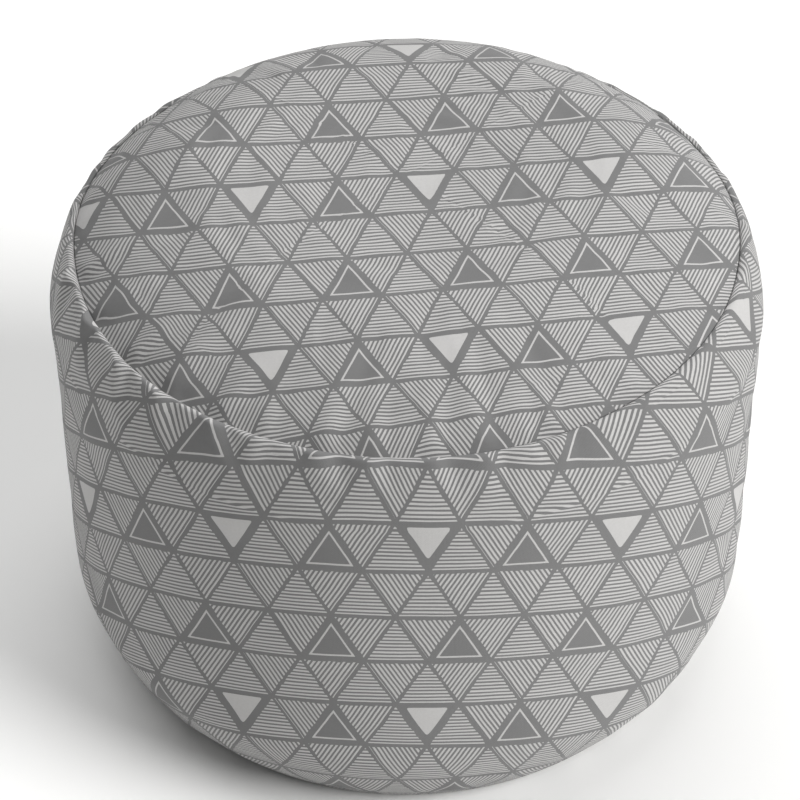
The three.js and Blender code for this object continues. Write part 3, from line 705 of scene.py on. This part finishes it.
def build_cage(shape, sizes):
    """The whole closed cover as one quad mesh: the top as a square grid drawn out to a disc,
    rings out to the seam, and rows down the side. The seam's points belong to both panels.
    Also gives the print's corners on the side, and the points of the two seams."""
    columns = sizes.columns
    across = columns // 4
    rings = [v * MM for v in TOP_RINGS]
    inner_radius = shape.seam_radius - rings[-1]
    verts, top_faces, side_faces, side_corners = [], [], [], []

    def top_vert(x, y):
        r = math.hypot(x, y)
        phi = math.atan2(x, -y)
        z = float(shape.top(np.array([phi]), np.array([r]))[0])
        verts.append((x, y, z))
        return len(verts) - 1

    def ring_verts(r, z):
        first = len(verts)
        verts.extend((float(r[k]) * math.sin(angles[k]), -float(r[k]) * math.cos(angles[k]),
                      float(z[k])) for k in range(columns))
        return range(first, len(verts))

    grid = {}
    for i in range(across + 1):
        for j in range(across + 1):
            u, v = 2 * i / across - 1, 2 * j / across - 1
            if abs(u) > abs(v):
                r, alpha = u, math.pi / 4 * v / u
            elif v != 0:
                r, alpha = v, math.pi / 2 - math.pi / 4 * u / v
            else:
                r, alpha = 0.0, 0.0
            grid[i, j] = top_vert(
                inner_radius * r * math.cos(alpha), inner_radius * r * math.sin(alpha))
    for i in range(across):
        for j in range(across):
            top_faces.append((grid[i, j], grid[i + 1, j], grid[i + 1, j + 1], grid[i, j + 1]))
    # Column 0 is at the back, and columns run round by the left, the front and the right
    edge = [None] * columns
    for (i, j), index in grid.items():
        if i in (0, across) or j in (0, across):
            x, y, _ = verts[index]
            phi = math.atan2(x, -y)
            edge[round((phi + math.pi) / TURN * columns) % columns] = index
    angles = np.array([-math.pi + TURN * k / columns for k in range(columns)])
    previous = edge
    for inward in reversed(rings[:-1]):
        r = inner_radius + (shape.seam_at(angles) - inner_radius) * (1 - inward / rings[-1])
        ring = ring_verts(r, shape.top(angles, r))
        for k in range(columns):
            m = (k + 1) % columns
            top_faces.append((previous[k], ring[k], ring[m], previous[m]))
        previous = ring
    seam = previous
    rows = row_steps(shape.side_length())
    for s_low, s_high in zip(rows, rows[1:]):
        ring = ring_verts(*shape.side(angles, np.full(columns, s_high)))
        runs = [shape.side_run(angles, np.full(columns, s)) for s in (s_low, s_high)]
        for k in range(columns):
            m = (k + 1) % columns
            side_faces.append((previous[k], ring[k], ring[m], previous[m]))
            left, right = angles[k], angles[k] + TURN / columns
            side_corners.append([
                side_print(phi, run) for phi, run in (
                    (left, runs[0][k]), (left, runs[1][k]),
                    (right, runs[1][m]), (right, runs[0][m]))])
        previous = ring
    return verts, top_faces, side_faces, side_corners, seam, previous


def side_print(phi, s):
    """The print's coordinates on the side, at an angle and a distance down from the shoulder.
    The strip is cut off the straight, so that its rows bow downwards across the front. Behind
    the sides the bow eases off."""
    turn = min(abs(phi), SIDE_PRINT_EVEN)
    eased = math.sin(turn) + math.cos(turn) * (abs(phi) - turn)
    bow, lean, end = SIDE_PRINT_BOW
    bent = min(abs(phi), end)
    past = abs(phi) - bent
    level = 1 - math.cos(bent) + math.sin(end) * 0.35 * (1 - math.exp(-past / 0.35))
    return (SIDE_PRINT_TURN * math.copysign(eased, phi) + SIDE_PRINT_START[0],
            SIDE_PRINT_ROWS * s + SIDE_PRINT_START[1] - bow * level - lean * phi)


def plan_print(x, y):
    """The print's coordinates at a point of the top, or of the base seen from above."""
    reach, share = TOP_PRINT_EASE
    draw = (x * x + y * y) ** 2 * (1 - share * float(smooth(y / reach)))
    return tuple(a * x + b * y + c + d * draw + e * x * y
                 for a, b, c, d, e in (TOP_PRINT_X, TOP_PRINT_Y))


def new_object(name, verts, faces, smooth_faces=True):
    mesh = bpy.data.meshes.new(name)
    mesh.from_pydata([tuple(v) for v in verts], [], faces)
    mesh.validate()
    if smooth_faces:
        mesh.shade_smooth()
    made = bpy.data.objects.new(name, mesh)
    bpy.context.scene.collection.objects.link(made)
    return made


def apply_modifiers(obj):
    """Turns an object's modified shape into its own plain mesh."""
    depsgraph = bpy.context.evaluated_depsgraph_get()
    depsgraph.update()
    final = bpy.data.meshes.new_from_object(
        obj.evaluated_get(depsgraph), preserve_all_data_layers=True, depsgraph=depsgraph)
    obj.modifiers.clear()
    old, name = obj.data, obj.data.name
    obj.data = final
    bpy.data.meshes.remove(old)
    final.name = name
    return obj


def stuff(verts, faces, seam, low_ring, sizes):
    """Swells the closed cover with Cloth under pressure. The seams stay where they are sewn, the
    cloth near the top seam is a little too big for its place, and no point moves far."""
    start = np.array(verts)
    bag = new_object("bag", verts, faces)
    free = set(range(len(verts))) - set(seam) - set(low_ring)
    pins = bag.vertex_groups.new(name="sewn")
    pins.add(list(seam) + list(low_ring), 1.0, "REPLACE")
    pins.add(list(free), FREE_PIN, "REPLACE")
    ease = bag.vertex_groups.new(name="ease")
    seam_at = start[list(seam)].mean(axis=0)[2]
    for index in free:
        x, y, z = verts[index]
        away = abs(z - seam_at)
        if math.hypot(x, y) > EASE_INNER and away < EASE_REACH:
            ease.add([index], 1 - away / EASE_REACH, "REPLACE")
    cloth = bag.modifiers.new("stuffing", "CLOTH")
    for name, value in STUFFING:
        setattr(cloth.settings, name, value)
    cloth.settings.effector_weights.gravity = 0
    cloth.collision_settings.use_collision = False
    cloth.point_cache.frame_start = 1
    cloth.point_cache.frame_end = STUFFING_STEPS
    for step in range(1, STUFFING_STEPS + 1):
        bpy.context.scene.frame_set(step)
    depsgraph = bpy.context.evaluated_depsgraph_get()
    shown = bag.evaluated_get(depsgraph).data
    end = np.zeros(len(shown.vertices) * 3)
    shown.vertices.foreach_get("co", end)
    move = end.reshape(-1, 3) - start
    length = np.linalg.norm(move, axis=1, keepdims=True)
    move *= np.minimum(1.0, sizes.swell_limit / np.maximum(length, 1e-9))
    bpy.context.scene.frame_set(1)
    bpy.data.objects.remove(bag)
    return start + move


def finish_cloth(obj, thickness, material, levels=1):
    """One subdivision, then the cloth's thickness turned inwards."""
    if levels:
        subdivide = obj.modifiers.new("Subdivision", "SUBSURF")
        subdivide.levels = subdivide.render_levels = levels
        subdivide.uv_smooth = "NONE"
        subdivide.boundary_smooth = "PRESERVE_CORNERS"
    thicken = obj.modifiers.new("Solidify", "SOLIDIFY")
    thicken.thickness = thickness
    thicken.offset = -1.0
    thicken.use_even_offset = False
    apply_modifiers(obj)
    obj.data.materials.clear()
    obj.data.materials.append(material)
    obj.data.shade_smooth()
    return obj


def panel_from(name, verts, faces, corners):
    """One panel of the cover, with its own points and the print's UV map."""
    used = sorted({v for face in faces for v in face})
    index = {v: k for k, v in enumerate(used)}
    made = new_object(name, [verts[v] for v in used], [[index[v] for v in f] for f in faces])
    layer = made.data.uv_layers.new(name="print")
    for k, face in enumerate(made.data.polygons):
        for c, loop in enumerate(face.loop_indices):
            layer.data[loop].uv = corners[k][c]
    return made


class POUF_OT_cover(bpy.types.Operator):
    """Make the stuffed top and side panels of the cover"""

    bl_idname = "pouf.cover"
    bl_label = "Cover"

    def execute(self, context):
        sizes = context.scene.pouf_sizes
        shape = Shape(sizes)
        verts, top_faces, side_faces, side_corners, seam, low_ring = build_cage(shape, sizes)
        top_corners = [[plan_print(*verts[v][:2]) for v in face] for face in top_faces]
        # The base is closed for the stuffing only
        low = sum(verts[v][2] for v in low_ring) / len(low_ring)
        closed = verts + [(0.0, 0.0, low)]
        base = [(low_ring[(k + 1) % len(low_ring)], low_ring[k], len(verts))
                for k in range(len(low_ring))]
        moved = stuff(closed, top_faces + side_faces + base, seam,
                      list(low_ring) + [len(verts)], sizes)
        verts = [tuple(v) for v in moved[:-1]]
        top = panel_from("cover_top", verts, top_faces, top_corners)
        side = panel_from("cover_side", verts, side_faces, side_corners)
        for panel, node in ((top, "cover_top_panel"), (side, "cover_side_panel")):
            finish_cloth(panel, COVER_CLOTH, cover_cloth())
            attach(panel, "pouf")
            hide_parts(node)
        return {"FINISHED"}


# ---- The base, the inner bag and the filling ----

def band(x, y, half=BAND_HALF, reach=BAND_REACH, ramp=BAND_RAMP):
    """1 over the zip, falling smoothly to 0 over a ramp round it."""
    return smooth((half + ramp - abs(y)) / ramp) * smooth((reach + ramp - abs(x)) / ramp)


class POUF_OT_base(bpy.types.Operator):
    """Make the two panels of the base, raised off the floor over the zip"""

    bl_idname = "pouf.base"
    bl_label = "Base"

    def execute(self, context):
        sizes = context.scene.pouf_sizes
        rim = sizes.base_radius - FOOT_TURN
        draw = random.Random(sizes.seed + 1)
        waves = [(draw.uniform(20, 60), draw.uniform(20, 60), draw.uniform(0, TURN))
                 for _ in range(6)]
        columns, rows = BASE_COLUMNS, BASE_ROWS
        for name, side, node in (("cover_base_front", -1, "cover_bottom_panel_front"),
                                 ("cover_base_rear", 1, "cover_bottom_panel_rear")):
            verts, faces = [], []
            for i in range(columns + 1):
                turn = math.pi * i / columns
                x_out, y_out = rim * math.cos(turn), rim * math.sin(turn)
                x_in = x_out * 0.965
                y_in = SLOT_GAP + (SLOT_HALF - SLOT_GAP) * float(
                    smooth((SLOT_REACH + 2 * MM - abs(x_in)) / (2 * MM)))
                y_out = max(y_out, y_in + 2 * MM * math.sin(turn))
                for j in range(rows + 1):
                    t = (j / rows) ** 1.15
                    x, y = x_in + (x_out - x_in) * t, y_in + (y_out - y_in) * t
                    lift = BAND_LIFT * float(band(x, y))
                    edge = 1 - math.hypot(x, y) / rim
                    rest = float(smooth(edge / 0.06))
                    ripple = sum(math.sin(a * x + b * y + c) for a, b, c in waves) / 6
                    z = lift + (1 - rest) * 3.0 * MM + 0.35 * MM * (1 + ripple) * rest
                    verts.append((x, side * y, z))
            for i in range(columns):
                for j in range(rows):
                    a = i * (rows + 1) + j
                    face = (a, a + 1, a + rows + 2, a + rows + 1)
                    faces.append(face if side < 0 else face[::-1])
            corners = [[plan_print(-verts[v][0], verts[v][1]) for v in f] for f in faces]
            panel = panel_from(name, verts, faces, corners)
            finish_cloth(panel, COVER_CLOTH, cover_cloth(), levels=0)
            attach(panel, "pouf")
            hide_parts(node)
        return {"FINISHED"}


def round_bag(name, inset, top_drop, low, band_lift, lumps, seed):
    """A closed round bag inside the cover: its profile follows the cover's at a distance, and its
    underside rises over the zip."""
    sizes = bpy.context.scene.pouf_sizes
    shape = Shape(sizes)
    draw = random.Random(seed)
    waves = [(draw.randint(2, 9), draw.uniform(8, 40), draw.uniform(0, TURN),
              draw.uniform(0, TURN)) for _ in range(10)]
    crown_radius = shape.seam_radius - inset
    profile = []
    for k in range(BAG_CROWN_ROWS):
        r = crown_radius * (k / (BAG_CROWN_ROWS - 1)) ** 0.8
        height = float(shape.crown(0.0, r, sizes.shoulder_height - 8 * MM))
        profile.append((r, height - top_drop - inset))
    corner = profile[-1][1] - BAG_CORNER
    heights = np.linspace(corner, low + 4 * MM, BAG_SIDE_ROWS)
    for z in heights:
        profile.append((float(shape.side_radius(np.clip(z, shape.low, shape.high))) - inset, z))
    base_radius = sizes.base_radius - inset - 4 * MM
    for k in range(BAG_UNDER_ROWS):
        profile.append((base_radius * (1 - k / BAG_UNDER_ROWS), low))
    verts, faces = [(0.0, 0.0, profile[0][1])], []
    rows = profile[1:]
    columns = BAG_COLUMNS
    for n, (r, z) in enumerate(rows):
        for k in range(columns):
            phi = TURN * k / columns
            push = sum(math.sin(t * phi + a) * math.sin(w * z + b + 3 * r)
                       for t, w, a, b in waves) / 5
            fade = min(1.0, r / (60 * MM))
            under = n >= len(rows) - BAG_UNDER_ROWS
            rr = r + (0 if under else -lumps * abs(push) * fade)
            x, y = rr * math.sin(phi), -rr * math.cos(phi)
            zz = z if not under else low + band_lift * float(
                band(x, y, BAND_HALF + 5 * MM, BAND_REACH + 6 * MM))
            if n < BAG_CROWN_ROWS - 1:
                zz = z - lumps * abs(push) * fade
            verts.append((x, y, zz))
    verts.append((0.0, 0.0, low + band_lift))
    last = len(verts) - 1
    for k in range(columns):
        m = (k + 1) % columns
        faces.append((0, 1 + k, 1 + m))
        for n in range(len(rows) - 1):
            a, b = 1 + n * columns, 1 + (n + 1) * columns
            faces.append((a + k, b + k, b + m, a + m))
        end = 1 + (len(rows) - 1) * columns
        faces.append((end + k, last, end + m))
    return new_object(name, verts, faces)


class POUF_OT_inner_bag(bpy.types.Operator):
    """Make the calico inner bag that holds the filling"""

    bl_idname = "pouf.inner_bag"
    bl_label = "Inner bag"

    def execute(self, context):
        sizes = context.scene.pouf_sizes
        bag = round_bag("inner_bag", 7 * MM, 6 * MM, 6.0 * MM, 5.2 * MM, 1.5 * MM, sizes.seed + 2)
        finish_cloth(bag, LINER_CLOTH, liner_cloth(), levels=0)
        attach(bag, "pouf")
        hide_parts("liner_top_panel", "liner_side_panel", "liner_bottom_panel")
        return {"FINISHED"}


class POUF_OT_filling(bpy.types.Operator):
    """Make the mass of loose fibre in the inner bag"""

    bl_idname = "pouf.filling"
    bl_label = "Filling"

    def execute(self, context):
        scene = context.scene
        mass = round_bag("fibre_filling", 10 * MM, 7.5 * MM, 8.5 * MM, 5.5 * MM, 3.0 * MM,
                         scene.pouf_sizes.seed + 3)
        mass.data.materials.append(material_once(
            "Carded polyester fibre", loose_fibre, tuple(scene.pouf_colours.fibre)))
        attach(mass, "pouf")
        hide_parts("filling")
        return {"FINISHED"}


# ---- Stitching ----

def stitch_tree(stitch_material):
    """A Geometry Nodes tree that lays stitches end to end along a line."""
    tree = bpy.data.node_groups.new("Row of stitches", "GeometryNodeTree")
    face = tree.interface
    face.new_socket("Geometry", in_out="INPUT", socket_type="NodeSocketGeometry")
    for name, value, kind in (("Pitch", 3.0 * MM, "NodeSocketFloat"),
                              ("Thread radius", 0.4 * MM, "NodeSocketFloat"),
                              ("Stitch share", 0.82, "NodeSocketFloat"),
                              ("Seed", 3, "NodeSocketInt")):
        socket = face.new_socket(name, in_out="INPUT", socket_type=kind)
        socket.default_value = value
    face.new_socket("Geometry", in_out="OUTPUT", socket_type="NodeSocketGeometry")
    given = add(tree, "NodeGroupInput").outputs
    line = add(tree, "GeometryNodeMeshToCurve", {0: given["Geometry"]})
    spaced = add(tree, "GeometryNodeResampleCurve", {
        "Curve": line.outputs[0], "Length": given["Pitch"]}, mode="LENGTH")
    tangent = add(tree, "GeometryNodeInputTangent")
    turn = add(tree, "FunctionNodeAlignRotationToVector", {
        "Vector": tangent.outputs[0]}, axis="Z")
    length = add(tree, "ShaderNodeMath", {
        0: given["Pitch"], 1: given["Stitch share"]}, operation="MULTIPLY")
    ball = add(tree, "GeometryNodeMeshUVSphere", {"Segments": 6, "Rings": 5, "Radius": 1.0})
    half = add(tree, "ShaderNodeMath", {0: length.outputs[0], 1: 0.5}, operation="MULTIPLY")
    shape = add(tree, "ShaderNodeCombineXYZ", {
        "X": given["Thread radius"], "Y": given["Thread radius"], "Z": half.outputs[0]})
    stitch = add(tree, "GeometryNodeTransform", {"Geometry": ball.outputs[0],
                                                  "Scale": shape.outputs[0]})
    jitter = add(tree, "FunctionNodeRandomValue", {
        "Min": (0.9, 0.9, 0.92), "Max": (1.1, 1.1, 1.04), "Seed": given["Seed"]},
        data_type="FLOAT_VECTOR")
    laid = add(tree, "GeometryNodeInstanceOnPoints", {
        "Points": spaced.outputs[0], "Instance": stitch.outputs[0],
        "Rotation": turn.outputs[0], "Scale": jitter.outputs[0]})
    real = add(tree, "GeometryNodeRealizeInstances", {0: laid.outputs[0]})
    dressed = add(tree, "GeometryNodeSetMaterial", {
        "Geometry": real.outputs[0], "Material": stitch_material})
    add(tree, "NodeGroupOutput", {0: dressed.outputs[0]})
    return tree


def stitched(name, points, values, material):
    """A row of stitches round a closed line of points, as one plain mesh."""
    mesh = bpy.data.meshes.new(name)
    edges = [(k, (k + 1) % len(points)) for k in range(len(points))]
    mesh.from_pydata(points, edges, [])
    made = bpy.data.objects.new(name, mesh)
    bpy.context.scene.collection.objects.link(made)
    tree = bpy.data.node_groups.get("Row of stitches") or stitch_tree(material)
    rows = made.modifiers.new("Stitches", "NODES")
    rows.node_group = tree
    for item in tree.interface.items_tree:
        if item.item_type == "SOCKET" and item.in_out == "INPUT" and item.name in values:
            rows[item.identifier] = values[item.name]
    apply_modifiers(made)
    made.data.shade_smooth()
    return made


class POUF_OT_stitching(bpy.types.Operator):
    """Sew the seams of cover and inner bag, and the topstitching round the zip"""

    bl_idname = "pouf.stitching"
    bl_label = "Stitching"

    def execute(self, context):
        sizes = context.scene.pouf_sizes
        shape = Shape(sizes)
        thread = cover_thread()
        angles = np.array([TURN * k / 240 for k in range(240)])

        def ring(radius, height):
            return [(float(r) * math.sin(a), -float(r) * math.cos(a), float(h))
                    for a, r, h in zip(angles, radius, height)]

        _, seam = shape.lip(angles)
        even = np.ones_like(angles)
        half_x, half_y, corner = 184.3 * MM, 9 * MM, 3 * MM
        loop = []
        for corner_x, corner_y, start in ((1, 1, 0), (-1, 1, 90), (-1, -1, 180), (1, -1, 270)):
            for k in range(5):
                a = math.radians(start + 22.5 * k)
                loop.append((corner_x * (half_x - corner) + corner * math.cos(a),
                             corner_y * (half_y - corner) + corner * math.sin(a),
                             BAND_LIFT - 0.15 * MM))
        rows = (
            ("top_seam_stitches", ring(shape.seam_at(angles) - 0.5 * MM, seam - 2.2 * MM),
             "cover_top_seam_thread", "cover_thread"),
            ("base_seam_stitches", ring(even * (sizes.base_radius - 5.5 * MM), even * 5.2 * MM),
             "cover_base_seam_thread", "cover_thread"),
            ("zip_topstitching", loop, "zipper_topstitching", "cover_thread"),
            ("bag_top_stitches", ring(even * (sizes.shoulder_radius - 16 * MM), even * 337 * MM),
             "liner_top_seam_thread", "liner_fabric"),
            ("bag_base_stitches", ring(even * (sizes.base_radius - 14 * MM), even * 9 * MM),
             "liner_base_seam_thread", "liner_fabric"),
        )
        for name, points, node, slot in rows:
            made = stitched(name, points, {"Pitch": 3.2 * MM}, thread)
            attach(made, "pouf")
            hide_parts(node)
        return {"FINISHED"}


# ---- The zip ----

class POUF_OT_zip(bpy.types.Operator):
    """Finish the zip's tapes, teeth, stops, slider and pull"""

    bl_idname = "pouf.zip"
    bl_label = "Zip"

    def execute(self, context):
        colours = context.scene.pouf_colours
        tape = material_once("Woven polyester tape", woven_cloth, "Woven polyester tape",
                             tuple(colours.tape), 0.6 * MM, 0.7, 0.15)
        teeth = material_once("Moulded acetal", moulded_plastic, tuple(colours.teeth))
        metal = material_once("Nickel-plated zinc", plated_metal, tuple(colours.metal))
        for material, nodes in (
                (tape, ("zipper_tape_front", "zipper_tape_rear")),
                (teeth, ("zipper_teeth_front", "zipper_teeth_rear")),
                (metal, ("zipper_top_stop_front", "zipper_top_stop_rear",
                         "zipper_bottom_stop", "zipper_slider", "zipper_pull"))):
            for node in nodes:
                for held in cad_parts[node].material_slots:
                    held.material = material
        return {"FINISHED"}


# ---- The stage ----

def soft_light(name, source, spread, strength, colour):
    """A broad soft light from a direction, as even over the floor as over the object."""
    data = bpy.data.lights.new(name, "SUN")
    data.angle = math.radians(spread)
    data.energy = strength
    data.color = colour
    lamp = bpy.data.objects.new(name, data)
    lamp.location = source
    lamp.rotation_euler = (-Vector(source)).to_track_quat("-Z", "Y").to_euler()
    bpy.context.scene.collection.objects.link(lamp)


class POUF_OT_stage(bpy.types.Operator):
    """Set the floor, the soft lights and the camera"""

    bl_idname = "pouf.stage"
    bl_label = "Stage"

    def execute(self, context):
        scene = context.scene
        scene.view_settings.view_transform = "Standard"
        verts = [(x * FLOOR_REACH, y * FLOOR_REACH, 0.0)
                 for x, y in ((-1, -1), (1, -1), (1, 1), (-1, 1))]
        floor = new_object("studio_floor", verts, [(0, 1, 2, 3)], smooth_faces=False)
        floor.data.materials.append(paper_floor(tuple(scene.pouf_colours.floor)))
        for lamp in LAMPS:
            soft_light(*lamp)
        world = bpy.data.worlds.new("Studio")
        world.use_nodes = True
        scene.world = world
        tree = world.node_tree
        tree.nodes.clear()
        rays = add(tree, "ShaderNodeLightPath")
        glow = add(tree, "ShaderNodeMapRange", {
            "Value": rays.outputs["Is Camera Ray"], "To Min": ROOM_LIGHT, "To Max": PAPER_GLOW})
        room = add(tree, "ShaderNodeBackground", {
            "Color": (1.0, 1.0, 1.0, 1.0), "Strength": glow.outputs[0]})
        add(tree, "ShaderNodeOutputWorld", {"Surface": room.outputs[0]})
        data = bpy.data.cameras.new("camera")
        data.lens = CAMERA_LENS
        data.sensor_width = 36
        data.shift_x, data.shift_y = CAMERA_SHIFT
        data.clip_start, data.clip_end = 0.05, 50
        camera = bpy.data.objects.new("camera", data)
        look = Vector(CAMERA_LOOK)
        camera.location = look + CAMERA_DISTANCE * Vector(
            (0, -math.cos(CAMERA_TILT), math.sin(CAMERA_TILT)))
        camera.rotation_euler = (look - camera.location).to_track_quat("-Z", "Y").to_euler()
        scene.collection.objects.link(camera)
        scene.camera = camera
        return {"FINISHED"}


class POUF_PT_panel(bpy.types.Panel):
    """Sizes, colours and steps of the pouf"""

    bl_label = "Drum pouf"
    bl_idname = "POUF_PT_panel"
    bl_space_type = "VIEW_3D"
    bl_region_type = "UI"
    bl_category = "Pouf"

    def draw(self, context):
        for heading, group in (("Sizes", context.scene.pouf_sizes),
                               ("Colours", context.scene.pouf_colours)):
            box = self.layout.box()
            box.label(text=heading)
            for name in group.__annotations__:
                box.prop(group, name)
        for step in STEPS:
            self.layout.operator(step.bl_idname)


STEPS = (POUF_OT_stage, POUF_OT_cover, POUF_OT_base, POUF_OT_inner_bag, POUF_OT_filling,
         POUF_OT_stitching, POUF_OT_zip)
CLASSES = (PoufSizes, PoufColours, *STEPS, POUF_PT_panel)


def register():
    for cls in CLASSES:
        bpy.utils.register_class(cls)
    bpy.types.Scene.pouf_sizes = PointerProperty(type=PoufSizes)
    bpy.types.Scene.pouf_colours = PointerProperty(type=PoufColours)


def unregister():
    del bpy.types.Scene.pouf_colours
    del bpy.types.Scene.pouf_sizes
    for cls in reversed(CLASSES):
        bpy.utils.unregister_class(cls)


def main():
    register()
    for step in STEPS:
        group, name = step.bl_idname.split(".")
        getattr(getattr(bpy.ops, group), name)()


if __name__ == "__main__":
    main()
